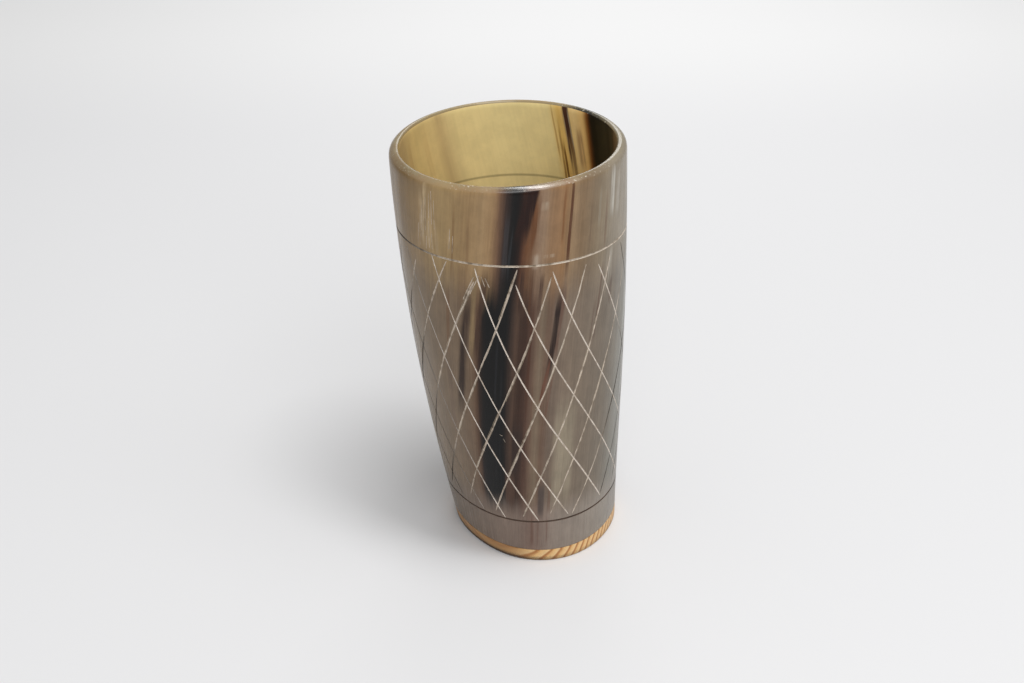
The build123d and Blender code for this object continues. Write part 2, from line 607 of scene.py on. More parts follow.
@dataclass(frozen=True)
class HornFinish:
    """Polished horn outside: taupe and honey with dark streaks that run along it, and some painted sheen and
    reflections.
    """

    streaks: Streaks = Streaks()
    middle_stops: tuple[Stop, ...] = (
        (-180.0, HONEY),
        (-120.0, tone(134, 116, 86)),
        (-66.0, tone(124, 106, 83)),
        (-36.0, tone(122, 103, 83)),
        (-26.5, tone(112, 91, 72)),
        (-24.2, tone(96, 71, 53)),
        (-22.6, tone(52, 34, 24)),
        (-20.8, PITCH),
        (-9.6, PITCH),
        (-8.2, tone(30, 22, 18)),
        (-6.6, tone(60, 45, 37)),
        (-4.4, tone(80, 60, 48)),
        (-2.2, tone(54, 36, 27)),
        (0.4, tone(64, 43, 33)),
        (3.2, tone(90, 66, 54)),
        (6.2, tone(110, 90, 74)),
        (8.8, tone(120, 104, 86)),
        (11.8, tone(103, 80, 65)),
        (15.0, tone(112, 96, 83)),
        (24.0, tone(120, 105, 90)),
        (54.0, tone(117, 106, 92)),
        (75.0, tone(120, 117, 106)),
        (98.0, tone(116, 106, 90)),
        (105.0, BROWN_BLACK),
        (110.0, PITCH),
        (126.0, PITCH),
        (131.0, RUST),
        (138.0, tone(158, 138, 102)),
        (147.0, tone(104, 78, 54)),
        (152.0, HONEY),
        (180.0, HONEY),
    )
    upper_stops: tuple[Stop, ...] = (
        (-180.0, tone(166, 144, 100)),
        (-110.0, tone(138, 114, 74)),
        (-72.0, tone(122, 96, 57)),
        (-60.0, tone(150, 124, 88)),
        (-45.0, tone(162, 136, 95)),
        (-32.0, tone(152, 124, 87)),
        (-24.0, tone(160, 132, 96)),
        (-19.4, tone(148, 119, 85)),
        (-16.6, tone(110, 82, 62)),
        (-14.0, tone(58, 43, 37)),
        (-11.6, tone(22, 19, 18)),
        (-9.8, PITCH),
        (-7.4, tone(22, 10, 7)),
        (-5.8, tone(56, 32, 20)),
        (-4.0, tone(88, 56, 37)),
        (-1.0, tone(110, 79, 55)),
        (3.0, tone(138, 113, 91)),
        (6.0, tone(140, 115, 91)),
        (9.0, tone(136, 106, 77)),
        (12.0, tone(142, 110, 79)),
        (15.5, tone(136, 103, 70)),
        (20.5, tone(145, 120, 91)),
        (25.0, tone(124, 101, 75)),
        (36.0, tone(130, 114, 92)),
        (48.0, tone(142, 130, 112)),
        (70.0, tone(134, 122, 102)),
        (98.0, tone(136, 124, 102)),
        (104.0, BROWN_BLACK),
        (109.0, PITCH),
        (126.0, PITCH),
        (138.0, tone(172, 150, 112)),
        (180.0, tone(166, 144, 100)),
    )
    foot_stops: tuple[Stop, ...] = (
        (-180.0, tone(128, 112, 88)),
        (-60.0, tone(108, 92, 75)),
        (-44.0, tone(120, 105, 92)),
        (0.0, tone(126, 109, 98)),
        (8.0, tone(120, 99, 88)),
        (14.0, tone(130, 112, 101)),
        (24.0, tone(140, 127, 116)),
        (70.0, tone(142, 133, 122)),
        (100.0, tone(118, 108, 96)),
        (118.0, BROWN_BLACK),
        (134.0, tone(116, 98, 76)),
        (180.0, tone(128, 112, 88)),
    )
    flecks: tuple[Fleck, ...] = (
        Fleck(-150.0, 3.0, 74.0, 52.0, tone(98, 75, 50), 0.75),
        Fleck(-141.0, 1.4, 86.0, 44.0, tone(84, 60, 40), 0.7),
        Fleck(-127.0, 7.0, 88.0, 56.0, tone(160, 140, 102), 0.6),
        Fleck(-111.0, 2.2, 62.0, 44.0, tone(94, 74, 54), 0.65),
        Fleck(-96.0, 4.0, 78.0, 50.0, tone(112, 92, 68), 0.6),
        Fleck(155.0, 2.6, 72.0, 50.0, tone(106, 82, 54), 0.7),
        Fleck(-32.5, 3.0, 106.0, 12.0, tone(104, 80, 60), 0.3),
        Fleck(-26.3, 1.8, 98.0, 22.0, tone(136, 114, 82), 0.8, 0.02),
        Fleck(-31.7, 3.6, 81.0, 29.0, tone(52, 36, 27), 1.0, 0.13, 0.75, 0.3),
        Fleck(-22.9, 1.7, 97.0, 20.0, tone(66, 46, 35), 0.85, 0.12),
        Fleck(-41.0, 1.2, 92.0, 16.0, tone(114, 85, 61), 0.7),
        Fleck(-41.5, 2.4, 62.0, 20.0, tone(108, 88, 72), 0.5),
        Fleck(-3.6, 1.0, 106.0, 10.0, tone(50, 33, 25), 0.85),
        Fleck(0.5, 1.0, 104.0, 12.0, tone(84, 54, 34), 0.7),
        Fleck(6.2, 1.6, 105.0, 9.0, tone(70, 48, 38), 0.9, 0.05),
        Fleck(2.4, 1.0, 82.0, 24.0, tone(78, 49, 35), 0.85),
        Fleck(16.4, 2.6, 94.0, 16.0, tone(92, 64, 52), 0.75, 0.115),
        Fleck(14.5, 1.9, 90.0, 18.0, tone(38, 25, 19), 1.0, 0.115, 0.5, 0.3),
        Fleck(11.4, 1.0, 72.0, 13.0, tone(102, 66, 50), 0.9, 0.2),
        Fleck(14.2, 0.7, 68.0, 11.0, tone(108, 78, 63), 0.7, 0.18),
        Fleck(5.6, 0.6, 62.0, 14.0, tone(92, 66, 52), 0.7),
        Fleck(-1.5, 3.2, 47.0, 15.0, tone(52, 38, 32), 0.95),
        Fleck(2.6, 0.9, 44.0, 12.0, tone(72, 50, 40), 0.6),
        Fleck(-5.0, 3.6, 30.0, 8.0, tone(86, 62, 50), 0.7),
        Fleck(25.5, 8.0, 44.0, 26.0, tone(150, 139, 119), 0.75),
        Fleck(13.5, 2.6, 26.0, 9.0, tone(76, 66, 62), 0.85),
        Fleck(18.5, 1.0, 27.0, 8.0, tone(104, 76, 62), 0.6),
        Fleck(39.8, 1.0, 97.0, 15.0, tone(92, 69, 55), 0.85, 0.11),
        Fleck(36.6, 0.7, 90.0, 12.0, tone(100, 80, 66), 0.6, 0.11),
        Fleck(50.6, 1.6, 99.0, 6.0, tone(80, 60, 44), 0.9),
        Fleck(45.0, 1.4, 106.0, 10.0, tone(150, 138, 122), 0.6),
        Fleck(8.5, 1.2, 13.0, 8.0, tone(100, 72, 60), 0.7),
        Fleck(12.0, 0.8, 12.0, 8.0, tone(104, 80, 68), 0.6),
        Fleck(18.0, 0.7, 13.0, 7.0, tone(112, 86, 74), 0.6),
        # Painted sheen: bluish-grey lines in the pitch-black core, where its gloss reflects the room
        Fleck(-14.0, 0.9, 66.0, 44.0, tone(36, 37, 40), 0.5, ragged=0.9),
        Fleck(-11.0, 0.6, 52.0, 34.0, tone(34, 35, 38), 0.5, ragged=0.9),
        Fleck(-12.8, 1.3, 122.0, 13.0, tone(58, 56, 58), 0.6, ragged=0.9),
        Fleck(-10.6, 0.8, 120.0, 11.0, tone(50, 51, 54), 0.5, ragged=0.9),
        Fleck(-30.6, 1.2, 122.0, 12.0, tone(126, 98, 68), 0.5, -0.05),
        Fleck(-38.5, 0.9, 122.0, 16.0, tone(134, 104, 68), 0.6),
        Fleck(-3.4, 4.3, 136.0, 15.0, tone(36, 15, 8), 1.0, 0.25, 0.4, 0.2),
        Fleck(-0.4, 2.4, 128.0, 12.0, tone(102, 64, 37), 0.9, 0.2, 0.5, 0.6),
        Fleck(18.4, 1.2, 128.0, 21.0, tone(84, 50, 29), 0.95, 0.0, 0.5, 0.5),
        Fleck(14.4, 0.8, 131.0, 12.0, tone(116, 76, 44), 0.7),
        Fleck(4.7, 2.7, 135.0, 1.8, tone(184, 168, 148), 0.8, ragged=0.8),
        Fleck(2.4, 2.6, 116.8, 3.2, tone(174, 158, 140), 0.65, ragged=0.9),
        Fleck(9.0, 3.4, 118.2, 0.8, tone(170, 150, 128), 0.6, ragged=0.9),
        # Painted reflection: pale patches on the right of the upper band, where the polished horn reflects a
        # bright side
        Fleck(46.5, 2.8, 133.0, 10.0, tone(192, 186, 174), 0.9, ragged=0.7),
        Fleck(53.0, 2.4, 131.0, 9.0, tone(178, 170, 157), 0.5, ragged=0.7),
        Fleck(41.0, 1.0, 124.0, 12.0, tone(108, 84, 64), 0.6),
        Fleck(48.6, 2.2, 108.0, 8.0, tone(176, 168, 154), 0.6, ragged=0.8),
        Fleck(36.0, 1.0, 130.0, 8.0, tone(142, 132, 116), 0.6),
        Fleck(30.5, 0.8, 126.0, 12.0, tone(112, 92, 72), 0.6),
        Fleck(-54.0, 2.4, 129.0, 14.0, tone(196, 172, 134), 0.85, -0.12, ragged=0.9),
        Fleck(-57.0, 1.6, 126.0, 12.0, tone(186, 162, 126), 0.8, -0.18, ragged=0.9),
        Fleck(-50.5, 1.2, 123.0, 10.0, tone(184, 158, 120), 0.75, -0.12, ragged=0.9),
        Fleck(-47.0, 1.2, 120.0, 8.0, tone(176, 152, 118), 0.65, -0.12, ragged=0.9),
        Fleck(-40.6, 0.8, 122.0, 5.0, tone(184, 160, 124), 0.8, ragged=0.7),
    )
    upper_from: float = 98.0
    upper_to: float = 118.0
    foot_from: float = 29.0
    foot_to: float = 17.0
    waver_scale: float = 0.5
    upper_waver: float = 16.0
    foot_waver: float = 7.0
    bands: Range = (0.94, 1.05)
    band_scale: float = 0.3
    fibres: Range = (0.93, 1.06)
    fibre_scale: float = 1.6
    fibre_relief: float = 0.000012
    mottle: Range = (0.94, 1.05)
    mottle_scale: float = 170.0
    gloss: Range = (0.2, 0.34)
    gloss_scale: float = 0.4
    ior: float = 1.31

    def material(self) -> bpy.types.Material:
        """Make the material.

        Returns:
            The finished material.
        """
        shader = Shader("horn_outside")
        streaks = self.streaks
        height, run, along = streaks.place(shader)
        swayed = streaks.swayed(shader, run, along)
        ragged = shader.noise(along, self.waver_scale, detail=3.0)
        colour = streaks.colours(shader, swayed, self.middle_stops)
        upper = shader.span(shader.astray(ragged, self.upper_waver, height), self.upper_from, self.upper_to)
        colour = shader.mix(upper, colour, streaks.colours(shader, swayed, self.upper_stops))
        foot = shader.astray(ragged, self.foot_waver, height)
        foot = shader.span(foot, self.foot_to, self.foot_from, 1.0, 0.0)
        colour = shader.mix(foot, colour, streaks.colours(shader, swayed, self.foot_stops))
        for mark in self.flecks:
            colour = streaks.fleck(shader, colour, mark, (height, swayed, along))
        colour = shader.grain(colour, shader.noise(along, self.band_scale), self.bands)
        fibres = shader.noise(along, self.fibre_scale, detail=3.0, rough=0.65)
        colour = shader.grain(colour, fibres, self.fibres)
        mottle = shader.noise(shader.object_place(), self.mottle_scale, detail=4.0, rough=0.65)
        colour = shader.grain(colour, mottle, self.mottle, NARROW)
        gloss = shader.vary(shader.noise(along, self.gloss_scale, detail=3.0), self.gloss)
        return shader.finish(colour, gloss, self.ior, shader.relief(fibres, self.fibre_relief))


@dataclass(frozen=True)
class HollowFinish:
    """The scraped inside of the horn: honey, with dark streaks where the outside has them; its colours are
    painted lighter than the horn, as painted light shining through the wall.
    """

    streaks: Streaks = Streaks(drift=0.3, drift_height=130.0, sway=3.0, fray=2.0)
    stops: tuple[Stop, ...] = (
        (-180.0, tone(245, 224, 160)),
        (-152.0, tone(238, 214, 150)),
        (-147.0, tone(226, 201, 141)),
        (-141.0, tone(204, 176, 122)),
        (-136.0, tone(222, 194, 132)),
        (-118.0, tone(214, 185, 122)),
        (-104.0, tone(186, 158, 108)),
        (-80.0, tone(180, 152, 104)),
        (-30.0, tone(180, 156, 110)),
        (-18.0, tone(140, 108, 72)),
        (-13.0, BROWN_BLACK),
        (-2.0, BROWN_BLACK),
        (4.0, tone(130, 100, 70)),
        (14.0, tone(176, 152, 112)),
        (70.0, tone(160, 140, 106)),
        (96.0, tone(110, 86, 60)),
        (103.0, tone(28, 20, 14)),
        (125.5, tone(18, 12, 8)),
        (127.6, tone(58, 30, 14)),
        (130.0, tone(142, 88, 40)),
        # The pale band from here on is painted brighter still: painted light for the right of the hollow,
        # which lies in shade
        (133.0, tone(246, 204, 132)),
        (139.0, tone(254, 222, 156)),
        (146.0, tone(240, 202, 128)),
        (149.5, tone(236, 196, 112)),
        (156.0, tone(250, 229, 164)),
        (180.0, tone(245, 224, 160)),
    )
    flecks: tuple[Fleck, ...] = (
        Fleck(144.4, 2.9, 136.0, 22.0, tone(80, 53, 41), 1.0, 0.0, 0.5, 0.4),
        Fleck(143.8, 1.4, 121.0, 14.0, tone(104, 72, 46), 0.9, ragged=0.4),
        Fleck(142.7, 0.7, 133.0, 9.0, tone(212, 196, 170), 0.7, ragged=0.95),
        Fleck(146.3, 0.4, 134.0, 7.0, tone(196, 172, 140), 0.6, ragged=0.95),
        Fleck(136.9, 3.0, 128.0, 9.0, tone(158, 116, 84), 0.7, soft=0.7, ragged=0.7),
        Fleck(149.6, 0.9, 120.0, 11.0, tone(112, 74, 34), 0.9),
        Fleck(151.2, 0.9, 124.0, 15.0, tone(150, 108, 54), 0.85, -0.06),
        Fleck(153.6, 0.8, 132.0, 13.0, tone(186, 142, 76), 0.75),
        Fleck(-128.0, 2.6, 122.0, 18.0, tone(210, 178, 118), 0.6),
        Fleck(-112.0, 2.0, 122.0, 18.0, tone(182, 146, 94), 0.5),
    )
    # Painted shade of the upper ring, seen through the wall
    ring_height: float = 114.95
    ring_half: float = 0.12
    ring_fade: float = 0.5
    ring_slope: float = 0.035
    ring_shade: float = 0.42
    fibres: Range = (0.97, 1.02)
    fibre_scale: float = 0.7
    scrape_relief: float = 0.00002
    mottle: Range = (0.94, 1.03)
    mottle_scale: float = 120.0
    gloss: Range = (0.36, 0.5)
    gloss_scale: float = 0.3
    ior: float = 1.22

    def material(self) -> bpy.types.Material:
        """Make the material.

        Returns:
            The finished material.
        """
        shader = Shader("horn_inside")
        streaks = self.streaks
        height, run, along = streaks.place(shader)
        swayed = streaks.swayed(shader, run, along)
        colour = streaks.colours(shader, swayed, self.stops)
        for mark in self.flecks:
            colour = streaks.fleck(shader, colour, mark, (height, swayed, along))
        # Painted shade: the upper ring's groove seen as a faint dark line through the translucent wall
        level = shader.math("MULTIPLY_ADD", shader.axes(along)[1], -self.ring_slope, height)
        ring = shader.bump_about(level, self.ring_height, self.ring_half, self.ring_fade)
        colour = shader.shade(colour, shader.math("MULTIPLY_ADD", ring, -self.ring_shade, 1.0))
        fibres = shader.noise(along, self.fibre_scale, detail=3.0, rough=0.6)
        colour = shader.grain(colour, fibres, self.fibres)
        mottle = shader.noise(shader.object_place(), self.mottle_scale, detail=4.0, rough=0.65)
        colour = shader.grain(colour, mottle, self.mottle, NARROW)
        gloss = shader.vary(shader.noise(along, self.gloss_scale), self.gloss)
        return shader.finish(colour, gloss, self.ior, shader.relief(fibres, self.scrape_relief))


@dataclass(frozen=True)
class LipFinish:
    """The worn top of the rim: the horn's own streaks under a pale haze, with fine chips."""

    horn: HornFinish = HornFinish()
    haze: Colour = tone(150, 139, 108)
    haze_share: Range = (0.1, 0.6)
    haze_scale: float = 90.0
    haze_from: float = 140.1
    haze_to: float = 141.4
    haze_waver: float = 3.0
    waver_scale: float = 700.0
    plane_lean: float = 9.95
    plane_slope: float = 0.034
    chip: Colour = tone(226, 217, 198)
    chip_scale: float = 1500.0
    chip_edge: Range = (0.62, 0.7)
    chip_relief: float = 0.00001
    patch_scale: float = 55.0
    patch_edge: Range = (0.46, 0.6)
    patch_share: Range = (0.0, 0.8)
    roughness: float = 0.22
    ior: float = 1.7

    def material(self) -> bpy.types.Material:
        """Make the material.

        Returns:
            The finished material.
        """
        shader = Shader("horn_lip")
        streaks = self.horn.streaks
        height, run, along = streaks.place(shader)
        colour = streaks.colours(shader, streaks.swayed(shader, run, along), self.horn.upper_stops)
        where = shader.object_place()
        sideways = shader.math("MULTIPLY_ADD", shader.axes(where)[0], 1.0 / MM, self.plane_lean)
        level = shader.math("MULTIPLY_ADD", sideways, -self.plane_slope, height)
        waver = shader.noise(where, self.waver_scale, detail=3.0, rough=0.7)
        level = shader.astray(waver, self.haze_waver, level)
        cloud = shader.noise(where, self.haze_scale, detail=4.0, rough=0.6)
        cloudy = shader.vary(cloud, self.haze_share, NARROW)
        haze = shader.math("MULTIPLY", shader.span(level, self.haze_from, self.haze_to), cloudy)
        colour = shader.mix(haze, colour, self.haze)
        specks = shader.noise(where, self.chip_scale)
        patches = shader.vary(shader.noise(where, self.patch_scale), self.patch_share, self.patch_edge)
        chips = shader.math("MULTIPLY", shader.span(specks, *self.chip_edge), patches)
        colour = shader.mix(chips, colour, self.chip)
        return shader.finish(colour, self.roughness, self.ior, shader.relief(specks, self.chip_relief))


@dataclass(frozen=True)
class ScratchFinish:
    """Bare keratin in an engraved line: pale at the front, with painted shade towards the sides."""

    name: str
    pale: Colour
    dusty: Colour
    # Painted shade towards the sides of the cup, where the line gets less light
    painted_shade: Colour = tone(54, 45, 37)
    unshaded_from: float = -50.0
    left_fade: float = 22.0
    left_drift: float = 0.0
    unshaded_to: float = 62.0
    right_fade: float = 12.0
    right_drift: float = 0.0
    drift_height: float = 66.0
    dust_scale: float = 420.0
    dust_edge: Range = (0.4, 0.7)
    roughness: float = 0.7
    ior: float = 1.4

    def material(self) -> bpy.types.Material:
        """Make the material.

        Returns:
            The finished material.
        """
        shader = Shader(self.name)
        height, turn, _ = Streaks(drift=0.0).place(shader)
        above = shader.math("SUBTRACT", height, self.drift_height)
        dust = shader.span(shader.noise(shader.object_place(), self.dust_scale), *self.dust_edge)
        colour = shader.mix(dust, self.pale, self.dusty)
        # Painted shade: towards either side the line fades into the shade colour
        from_left = shader.math("MULTIPLY_ADD", above, -self.left_drift, turn)
        left = shader.span(from_left, self.unshaded_from - self.left_fade, self.unshaded_from, 1.0, 0.0)
        from_right = shader.math("MULTIPLY_ADD", above, -self.right_drift, turn)
        right = shader.span(from_right, self.unshaded_to, self.unshaded_to + self.right_fade)
        colour = shader.mix(shader.math("MAXIMUM", left, right), colour, self.painted_shade)
        return shader.finish(colour, self.roughness, self.ior)


@dataclass(frozen=True)
class PineFinish:
    """Oiled softwood: pale layers with orange late wood between them."""

    early: Colour = tone(234, 198, 144)
    mid: Colour = tone(226, 182, 122)
    late: Colour = tone(178, 120, 68)
    mid_at: float = 0.5
    late_at: Range = (0.74, 0.86)
    layer: float = 2.5
    facing: Triple = (-0.50, -0.77, 0.40)
    waver: float = 0.7
    waver_scale: float = 0.09
    # Where the layers lie along the face the wood looks plain; there, on the cup's shadow side, it is also
    # darkened with painted shade
    flat_sawn: Colour = tone(196, 145, 92)
    flat_share: float = 0.7
    flat_shade: float = 0.3
    flat_middle: float = -52.0
    flat_half: float = 30.0
    flat_fade: float = 24.0
    # Painted contact shade along the foot, full up to one height and gone at another, thinner to the lit
    # right
    painted_shade: Colour = tone(58, 41, 29)
    shade_full: float = 0.5
    shade_height: float = 2.3
    shade_waver: float = 1.6
    shade_left: float = -30.0
    shade_right: float = 40.0
    shade_thin: float = 0.35
    pores: Range = (0.92, 1.04)
    pore_scale: float = 2.2
    roughness: Range = (0.42, 0.6)
    relief: float = 0.00005
    ior: float = 1.4

    def material(self) -> bpy.types.Material:
        """Make the material.

        Returns:
            The finished material.
        """
        shader = Shader("softwood")
        scaled = {0: shader.object_place(), "Scale": 1.0 / MM}
        place = shader.node("ShaderNodeVectorMath", scaled, operation="SCALE").outputs[0]
        facing = {0: place, 1: Vector(self.facing)}
        across = shader.node("ShaderNodeVectorMath", facing, operation="DOT_PRODUCT").outputs["Value"]
        layers = shader.math("DIVIDE", across, self.layer)
        layers = shader.astray(shader.noise(place, self.waver_scale), self.waver, layers)
        share = shader.math("FRACT", layers)
        late = [(at, self.late) for at in self.late_at]
        colour = shader.ramp(share, [(0.0, self.early), (self.mid_at, self.mid), *late, (1.0, self.early)])
        height, turn, _ = Streaks(drift=0.0).place(shader)
        flat = shader.bump_about(turn, self.flat_middle, self.flat_half, self.flat_fade)
        colour = shader.mix(shader.math("MULTIPLY", flat, self.flat_share), colour, self.flat_sawn)
        # Painted shade on the wood's shadow side
        colour = shader.mix(shader.math("MULTIPLY", flat, self.flat_shade), colour, self.painted_shade)
        pores = shader.noise(place, self.pore_scale, detail=3.0, rough=0.6)
        colour = shader.grain(colour, pores, self.pores)
        # Painted contact shade along the foot, lighter towards the right
        low = shader.astray(pores, self.shade_waver, height)
        low = shader.span(low, self.shade_full, self.shade_height, 1.0, 0.0)
        side = shader.span(turn, self.shade_left, self.shade_right, 1.0, self.shade_thin)
        colour = shader.mix(shader.math("MULTIPLY", low, side), colour, self.painted_shade)
        rough = shader.vary(pores, self.roughness)
        return shader.finish(colour, rough, self.ior, shader.relief(share, self.relief))


@dataclass(frozen=True)
class GlueFinish:
    """Dried brown glue, a little glassy, with bubbles."""

    clear: Colour = tone(112, 84, 52)
    dark: Colour = tone(70, 50, 32)
    bubble_scale: float = 420.0
    roughness: Range = (0.3, 0.55)
    relief: float = 0.00005
    ior: float = 1.5

    def material(self) -> bpy.types.Material:
        """Make the material.

        Returns:
            The finished material.
        """
        shader = Shader("dried_glue")
        bubbles = shader.noise(shader.object_place(), self.bubble_scale, detail=3.0)
        colour = shader.mix(shader.span(bubbles, *NARROW), self.clear, self.dark)
        rough = shader.vary(bubbles, self.roughness)
        return shader.finish(colour, rough, self.ior, shader.relief(bubbles, self.relief))


@dataclass(frozen=True)
class CoatFinish:
    """Glossy amber coat on the floor of the cup, over the wood."""

    amber: Colour = tone(150, 116, 62)
    deep: Colour = tone(112, 82, 42)
    cloud_scale: float = 90.0
    roughness: Range = (0.14, 0.26)
    wave_scale: float = 60.0
    wave_relief: float = 0.0002
    ior: float = 1.5

    def material(self) -> bpy.types.Material:
        """Make the material.

        Returns:
            The finished material.
        """
        shader = Shader("resin_coat")
        where = shader.object_place()
        cloud = shader.noise(where, self.cloud_scale, detail=4.0)
        colour = shader.mix(shader.span(cloud, *NARROW), self.amber, self.deep)
        waves = shader.relief(shader.noise(where, self.wave_scale, detail=1.0), self.wave_relief)
        return shader.finish(colour, shader.vary(cloud, self.roughness), self.ior, waves)


Row = tuple[float, float, float, float, float]


class Lean(Enum):
    """Which way an engraved stroke runs, seen from outside."""

    FALLING = "down to the right"
    RISING = "up to the right"


@dataclass(frozen=True)
class Stroke:
    """One engraved stroke: azimuths at three heights in degrees, all else in millimetres."""

    azimuths: Triple
    top: float
    bottom: float
    width: float
    depth: float
    wander: float
    hand: str
    beside: float = 0.0
    fray: float = 0.1


@dataclass(frozen=True)
class Hatch:
    """Strokes that run one way: rows for those at the front, the count all round, and how each is cut.

    A row has the azimuths at the three gauge heights, then the heights where the stroke starts and ends.
    """

    front: tuple[Row, ...]
    total: int
    width: Range
    depth: Range
    wander: float
    fray: float


@dataclass(frozen=True)
class Engraving:
    """The maker's marks in the horn: two rings and a lattice of strokes between them."""

    form: HornForm = HornForm()
    gauge: Triple = (112.0, 66.0, 20.0)
    falling: Hatch = Hatch(
        (
            (163.0, 191.0, 234.0, 112.0, 17.9),
            (185.0, 214.0, 250.5, 111.0, 17.4),
            (207.0, 235.5, 272.0, 112.0, 17.6),
            (229.5, 254.5, 292.0, 115.2, 18.5),
            (253.0, 277.0, 321.5, 114.0, 19.3),
            (270.5, 299.5, 352.0, 109.2, 21.5),
            (290.0, 324.0, 386.0, 112.8, 20.0),
            (315.5, 354.0, 408.0, 110.5, 20.0),
        ),
        16,
        width=(0.40, 0.47),
        depth=(0.27, 0.33),
        wander=0.03,
        fray=0.08,
    )
    rising: Hatch = Hatch(
        (
            (216.5, 180.0, 140.0, 110.0, 19.0),
            (235.5, 198.0, 158.0, 114.5, 20.0),
            (253.5, 218.0, 178.0, 109.3, 19.0),
            (271.5, 242.0, 201.0, 114.4, 20.0),
            (289.5, 261.5, 224.0, 111.0, 22.0),
            (308.0, 280.5, 247.0, 112.3, 19.3),
            (326.5, 299.0, 265.5, 111.8, 19.1),
            (349.0, 317.0, 281.5, 111.0, 20.3),
            (370.0, 341.5, 298.0, 112.0, 18.3),
            (390.0, 362.0, 322.0, 112.5, 20.0),
        ),
        19,
        width=(0.46, 0.54),
        depth=(0.2, 0.26),
        wander=0.1,
        fray=0.3,
    )
    # Slips of the tool and scuffs: azimuth and height at one end, then at the other, width;
    # none crosses another, because all are cut at once
    slips: tuple[Row, ...] = (
        (257.2, 111.0, 259.0, 107.8, 0.26),
        (255.4, 111.4, 256.8, 108.0, 0.2),
        (254.3, 111.6, 248.8, 104.5, 0.3),
        (251.5, 110.8, 244.7, 102.0, 0.3),
        (279.8, 63.9, 277.3, 63.3, 0.3),
        (256.9, 52.7, 258.3, 52.2, 0.16),
        (258.6, 51.2, 259.6, 49.8, 0.14),
        (231.8, 138.0, 230.6, 126.0, 0.16),
        (233.0, 135.0, 232.0, 124.5, 0.14),
        (230.4, 137.0, 229.0, 128.0, 0.14),
        (227.8, 135.4, 226.0, 123.0, 0.16),
        (226.4, 134.0, 224.2, 121.0, 0.14),
        (225.0, 132.0, 222.6, 118.6, 0.16),
        (228.8, 127.0, 227.4, 116.8, 0.16),
        (223.4, 129.0, 220.8, 116.4, 0.14),
        (221.6, 125.0, 219.2, 117.2, 0.16),
        (226.2, 121.0, 225.0, 116.2, 0.14),
        (230.0, 123.0, 229.2, 117.0, 0.14),
        (241.2, 126.4, 239.6, 119.0, 0.2),
        (242.4, 124.0, 241.2, 117.6, 0.14),
    )
    slip_depth: float = 0.45
    slip_wander: float = 0.05
    # Strokes that are not at the front start and end about here
    start_height: float = 112.0
    end_height: float = 19.6
    height_spread: float = 1.6
    hair_length: Range = (14.0, 46.0)
    hair_width: Range = (0.16, 0.24)
    hair_depth: Range = (0.08, 0.13)
    hair_beside: Range = (0.34, 0.5)
    hair_wander: float = 0.08
    bar_steps: int = 64
    waves: int = 4
    wave_turns: Range = (2.0, 11.0)
    look_ahead: float = 0.01
    probe: float = 0.4
    proud: float = 0.3
    taper: float = 0.03
    blunt: float = 0.3
    ring_steps: int = 256
    ring_width: float = 0.68
    ring_depth: float = 0.35
    lower_stray: float = 0.15
    upper_stray: float = 0.5

    def strokes(self, lean: Lean) -> list[Stroke]:
        """All strokes that run one way, those at the front first, each cut a little differently.

        Args:
            lean: Which way.

        Returns:
            The strokes.
        """
        hatch = self.falling if lean is Lean.FALLING else self.rising
        rows = [list(row) for row in hatch.front]
        more = hatch.total - len(rows)
        for k in range(1, more + 1):
            share = k / (more + 1)
            draw = random.Random(f"ends {lean.name} {k}")
            ends = zip(hatch.front[0][:3], hatch.front[-1][:3])
            row = [last + share * (first + TURN - last) for first, last in ends]
            for height in (self.start_height, self.end_height):
                row.append(height + draw.uniform(-1.0, 1.0) * self.height_spread)
            rows.append(row)
        made = []
        for number, (high, middle, low, top, bottom) in enumerate(rows):
            hand = f"{lean.name} {number}"
            draw = random.Random(hand)
            width = draw.uniform(*hatch.width)
            depth = draw.uniform(*hatch.depth)
            way = (high, middle, low)
            made.append(Stroke(way, top, bottom, width, depth, hatch.wander, hand, fray=hatch.fray))
        return made

    def hairlines(self) -> list[Stroke]:
        """Fine second scratches beside the rising strokes, where the tool was drawn twice.

        Returns:
            The scratches.
        """
        made = []
        for stroke in self.strokes(Lean.RISING):
            draw = random.Random(f"hair {stroke.hand}")
            for side in (-1.0, 1.0):
                length = draw.uniform(*self.hair_length)
                top = draw.uniform(stroke.bottom + length, stroke.top)
                width = draw.uniform(*self.hair_width)
                depth = draw.uniform(*self.hair_depth)
                beside = side * draw.uniform(*self.hair_beside)
                hand = f"hair {side} {stroke.hand}"
                way = stroke.azimuths
                made.append(Stroke(way, top, top - length, width, depth, self.hair_wander, hand, beside))
        return made

    def slip_strokes(self) -> list[Stroke]:
        """Short pale scratches where the tool slipped or the rim was scuffed.

        Returns:
            The scratches.
        """
        made = []
        for number, (start, top, end, bottom, width) in enumerate(self.slips):
            slope = (start - end) / (top - bottom)
            high, middle, low = (start + slope * (level - top) for level in self.gauge)
            way = (high, middle, low)
            depth = width * self.slip_depth
            made.append(Stroke(way, top, bottom, width, depth, self.slip_wander, f"slip {number}"))
        return made

    def on_surface(self, azimuth: float, height: float) -> tuple[Vector, Vector]:
        """A point of the horn's outside and the way out from it.

        Args:
            azimuth: Direction in degrees.
            height: Height in millimetres.

        Returns:
            The point in metres, and the outward normal.
        """
        step = self.probe
        here = self.form.outside(height).point(azimuth, height)
        beside = self.form.outside(height).point(azimuth + step, height)
        above = self.form.outside(height + step).point(azimuth, height + step)
        return here, (beside - here).cross(above - here).normalized()

    def azimuth(self, stroke: Stroke, height: float) -> float:
        """Where a stroke runs: a smooth curve through its three azimuths.

        Args:
            stroke: The stroke.
            height: Height in millimetres.

        Returns:
            The azimuth in degrees.
        """
        high, middle, low = self.gauge
        first = stroke.azimuths[0] * (height - middle) * (height - low) / ((high - middle) * (high - low))
        second = stroke.azimuths[1] * (height - high) * (height - low) / ((middle - high) * (middle - low))
        third = stroke.azimuths[2] * (height - high) * (height - middle) / ((low - high) * (low - middle))
        return first + second + third

